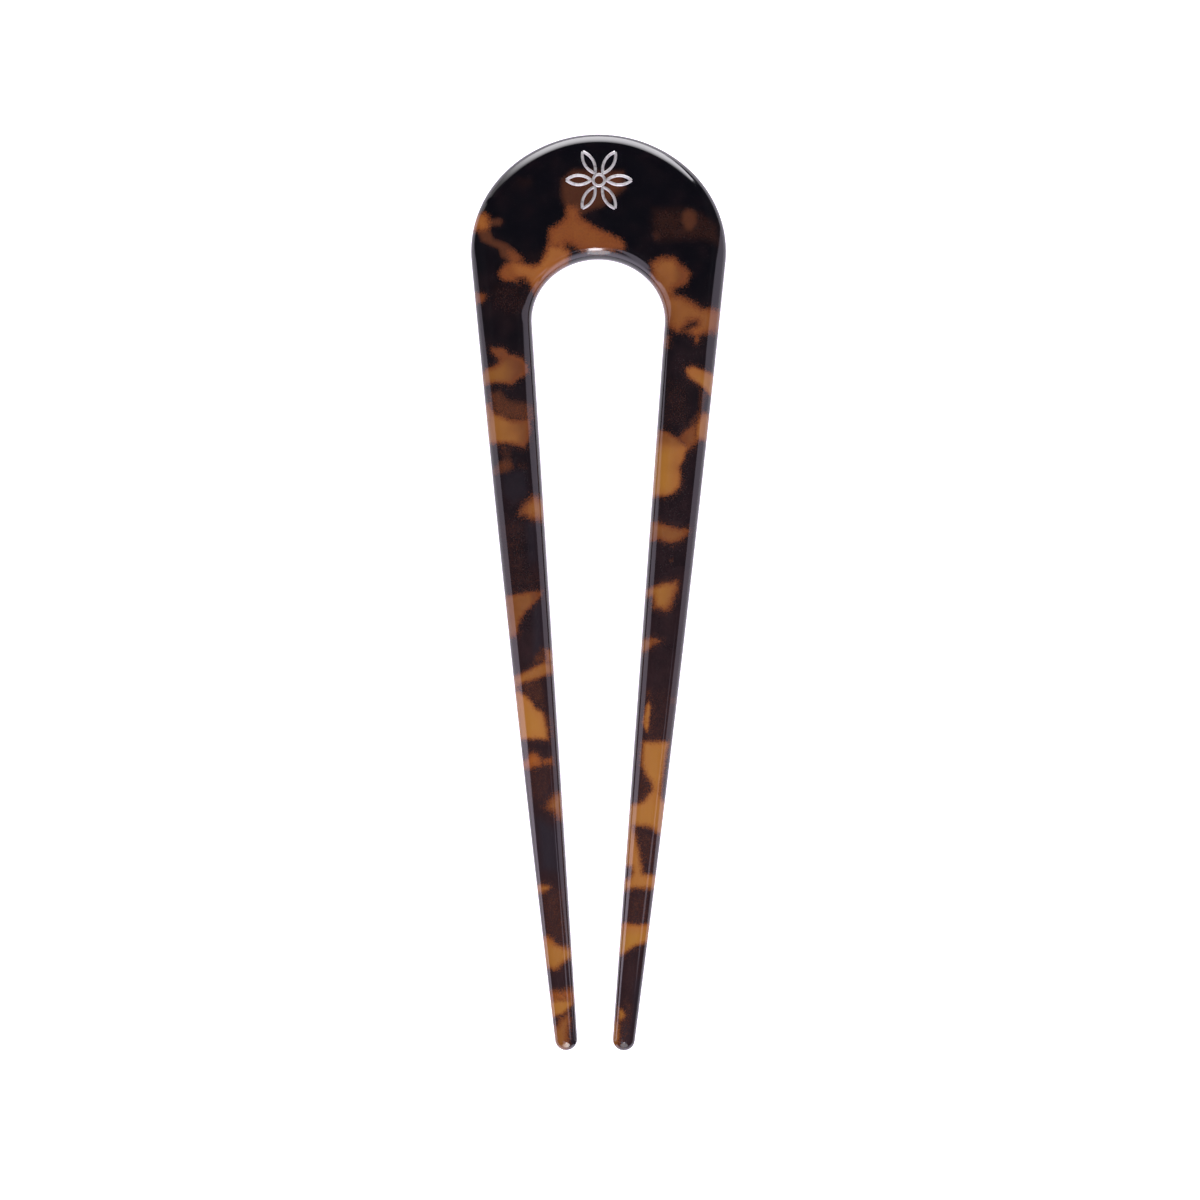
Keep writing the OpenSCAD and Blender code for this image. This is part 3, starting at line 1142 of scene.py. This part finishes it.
def tip_window(x: float) -> Corners:
    """Corners of a small window just past a tip at x, in metres.

    Args:
        x: Where the window's middle stands, in metres.

    Returns:
        Its corners in metres.
    """
    half = ((0.0007, 0.003), (0.0017, 0.0035), (0.0017, 0.0057), (0.0007, 0.0077))
    corners = half + tuple((-along, up) for along, up in reversed(half))
    return tuple((x + along, up) for along, up in corners)


CARDS = (
    LightCard("left_card", 3.6, "x", -0.15, (
        (-0.11, -0.002), (-0.1, 0.04), (-0.08, 0.053), (-0.068, 0.072), (-0.057, 0.105), (-0.052, 0.127),
        (-0.0477, 0.145), (-0.0285, 0.154), (-0.001, 0.145), (0.02, 0.133), (0.0346, 0.078),
        (0.05, 0.045), (0.075, -0.002)), (Fade((0, 1, 0), -0.065, -0.005, 0.48),)),
    LightCard("right_card", 1.5, "x", 0.15, (
        (-0.068, -0.002), (-0.06, 0.05), (-0.0555, 0.13), (-0.0533, 0.148), (-0.0277, 0.135),
        (-0.001, 0.156), (0.0205, 0.159), (0.03, 0.2), (0.045, 0.255), (0.0545, 0.23), (0.0624, 0.19),
        (0.08, 0.09), (0.1, -0.002))),
    LightCard("right_low_card", 2.4, "x", 0.149, (
        (-0.1, -0.002), (-0.085, 0.01), (-0.0726, 0.028), (-0.066, 0.05), (-0.0605, 0.072),
        (-0.056, 0.08), (-0.054, 0.03), (-0.054, -0.002))),
    LightCard("right_line", 1.8, "x", 0.15, (
        (-0.03, 0.28), (-0.055, 0.25), (-0.066, 0.215), (-0.0765, 0.17), (-0.11, 0.19), (-0.11, 0.32),
        (-0.0765, 0.26), (-0.066, 0.3), (-0.055, 0.31), (-0.03, 0.33)),
        (Fade((0, 1, 0), -0.065, -0.03, 0.3),)),
    LightCard("crown_card", 13, "y", 0.35, (
        (-0.6, 0), (0.15, 0), (0.29, 0.16), (0.28, 0.3), (0.14, 0.5), (-0.12, 0.5), (-0.25, 0.36),
        (-0.365, 0.2), (-0.6, 0.2)),
        (Fade((0, 0, 1), 0.13, 0.43), Fade((-1, 0, 0), 0.08, 0.33, 0.12)), (1, 0.98, 1.02, 1)),
    LightCard("arch_card", 3.3, "y", -0.33, (
        (-0.5, 0), (0.5, 0), (0.5, 0.3), (0.3, 0.5), (-0.3, 0.5), (-0.5, 0.3)),
        (Fade((0, 0, 1), 0.12, 0.5),)),
    LightCard("arch_side_card", 2, "y", -0.315, (
        (-0.1, 0.62), (-0.2, 0.26), (-0.3, 0.26), (-0.36, 0.5), (-0.34, 0.9), (-0.2, 1.1), (-0.1, 1.1))),
    LightCard("arch_line", 2, "y", -0.32, (
        (-0.26, 0.73), (-0.13, 0.64), (0.13, 0.64), (0.26, 0.73), (0.26, 0.86), (0.13, 0.76),
        (-0.13, 0.76), (-0.26, 0.86))),
    LightCard("front_card", 7, "y", -0.25, (
        (-0.02, 0.06), (0.02, 0.06), (0.045, 0.12), (0.045, 0.3), (-0.045, 0.3), (-0.045, 0.12)),
        colour=(0.95, 1, 1.12, 1)),
    LightCard("front_card_high", 22, "y", -0.31, (
        (-0.017, 0.366), (0.048, 0.366), (0.048, 0.722), (-0.017, 0.722)), colour=(1, 1, 1.08, 1)),
    LightCard("left_tip_card", 12, "y", -0.0645, tip_window(-0.004),
              (Fade((-1, 0, 0), 0.0034, 0.0058, 0.25),), (1.04, 0.97, 0.93, 1)),
    LightCard("right_tip_card", 3.4, "y", -0.0645, tip_window(0.004), colour=(1, 0.98, 1.02, 1)),
)


def round_the_crown(head: Oval, clear: float = 0.3, ends_deg: tuple[float, float] = (40.0, 148.0),
                    places: int = 19, wings: tuple[float, float] = (450.0, 500.0)) -> Corners:
    """Lay a path close around the crown, with a long straight wing out from each end.

    Args:
        head: The oval that the head follows.
        clear: Distance from the head's edge, in millimetres.
        ends_deg: Angles faced at the ends of the close part, in degrees.
        places: Number of places on the close part.
        wings: Lengths of both wings, in millimetres.

    Returns:
        The path in metres.
    """
    facing = np.radians(np.linspace(*ends_deg, places))
    out = np.column_stack([np.cos(facing), np.sin(facing)])
    near = head.facing(facing) + clear * out
    path = np.vstack([near[0] + wings[0] * out[0], near, near[-1] + wings[1] * out[-1]]) * MM
    return tuple((x, y) for x, y in path.tolist())


def screens(shape: PinShape) -> tuple[Screen, ...]:
    """List the screens around a pin.

    Args:
        shape: Shape of the pin.

    Returns:
        The screens.
    """
    return (
        Screen("crown_screen", round_the_crown(shape.head), low=0.0058, high=0.35),
        Screen("tip_screen", ((-0.0112, -0.0648), (0.0112, -0.0648)), low=0.0028, high=0.0086),
        Screen("tip_divider", ((0.0, -0.0628), (0.0, -0.0648)), low=0.0, high=0.0086),
    )


@dataclass(frozen=True)
class Studio:
    """White table, light cards around it, a dark room and the camera.

    A name that ends in px is in the photograph's pixels, one that ends in mm is in
    millimetres, and the other sizes are in metres.
    """

    frame_px: float = 1200.0
    crown_px: float = 135.2
    axis_px: float = 597.0
    pin_px: float = 915.7
    pin_mm: float = 127.0
    roll_deg: float = 0.26
    lens_mm: float = 100.0
    table_r: float = 1.5
    table: Colour = (0.9, 0.86, 0.94, 1.0)
    glow: Colour = (1.0, 0.93, 1.08, 1.0)
    glow_strength: float = 1.1
    table_drop_mm: float = 0.02
    rim_steps: int = 64
    lamp_watts: float = 9.5
    lamp_size: float = 0.5
    lamp_z: float = 1.0
    horizon: Colour = (0.9, 0.85, 0.95, 1.0)
    ceiling: Colour = (0.05, 0.05, 0.055, 1.0)
    horizon_top: float = 0.14

    def build(self, shape: PinShape) -> None:
        """Build the surroundings for a pin of the given shape.

        Args:
            shape: Shape of the pin.
        """
        self._table()
        self._lamp()
        self._world()
        self._camera(shape)
        for card in (*CARDS, *screens(shape)):
            card.build()
        bpy.context.scene.view_settings.view_transform = "Standard"

    def _table(self) -> None:
        """Round white table that glows a little, as a light table does."""
        turn = np.linspace(0, math.tau, self.rim_steps, endpoint=False)
        rim = np.column_stack([np.cos(turn), np.sin(turn), 0 * turn]) * self.table_r
        material, graph = new_material("table")
        graph.surface("ShaderNodeBsdfPrincipled", {
            "Base Color": self.table, "Roughness": 0.6,
            "Emission Color": self.glow, "Emission Strength": self.glow_strength,
        })
        mesh = new_mesh("table", rim.tolist(), [range(len(rim))], material)
        table = new_object("table", mesh)
        table.location.z = -self.table_drop_mm * MM
        table.visible_diffuse = False

    def _lamp(self) -> None:
        """Square soft lamp overhead, which doesn't show in the polish."""
        light = bpy.data.lights.new("lamp", "AREA")
        light.energy = self.lamp_watts
        light.size = self.lamp_size
        lamp = new_object("lamp", light)
        lamp.location.z = self.lamp_z
        lamp.visible_glossy = False

    def _world(self) -> None:
        """A dark room that is lighter near the horizon."""
        world = bpy.data.worlds.new("studio")
        world.use_nodes = True
        graph = Graph(world.node_tree)
        at = graph.add("ShaderNodeTexCoord", output="Generated")
        height = graph.add("ShaderNodeSeparateXYZ", inputs={0: at}, output="Z")
        shade = graph.mix(self.horizon, self.ceiling, height.ramp(0.0, self.horizon_top))
        light = graph.add("ShaderNodeBackground", inputs={"Color": shade, "Strength": 1.0})
        graph.add("ShaderNodeOutputWorld", inputs={"Surface": light})
        bpy.context.scene.world = world

    def _camera(self, shape: PinShape) -> None:
        """Camera straight above, framed as the photograph is.

        Args:
            shape: Shape of the pin.
        """
        scale = self.pin_mm / self.pin_px
        middle = self.frame_px / 2
        x = (middle - self.axis_px) * scale
        y = shape.crown_y - (middle - self.crown_px) * scale
        camera = bpy.data.cameras.new("camera")
        camera.lens = self.lens_mm
        spread = camera.sensor_width / camera.lens
        height = self.frame_px * scale / spread + shape.head_t / 2
        holder = new_object("camera", camera)
        holder.location = Vector((x, y, height)) * MM
        holder.rotation_euler = (0, 0, math.radians(self.roll_deg))
        bpy.context.scene.camera = holder


def ride_for(piece: bpy.types.Object, node: str) -> None:
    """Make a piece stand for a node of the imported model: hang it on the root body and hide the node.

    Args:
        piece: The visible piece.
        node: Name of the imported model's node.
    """
    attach(piece, ROOT_BODY)
    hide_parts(node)
    log.info("%s: %d faces, for %s", piece.name, len(piece.data.polygons), node)


def main() -> None:
    """Build the pin, its rosette and the studio."""
    logging.basicConfig(level=logging.INFO, format="%(message)s")
    low, high = (Vector(corner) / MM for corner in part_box("pin_body"))
    shape = PinShape(crown_y=high.y, end_y=low.y, head_w=high.x - low.x, head_t=high.z)
    Studio().build(shape)
    sheet = Sheet(shape, ColourChart(shape, PATCHES)).build(Acetate().material())
    ride_for(sheet, "pin_body")
    rosette = Rosette.from_frame().build(Silver().material())
    ride_for(rosette, "foil_emblem")


if __name__ == "__main__":
    main()
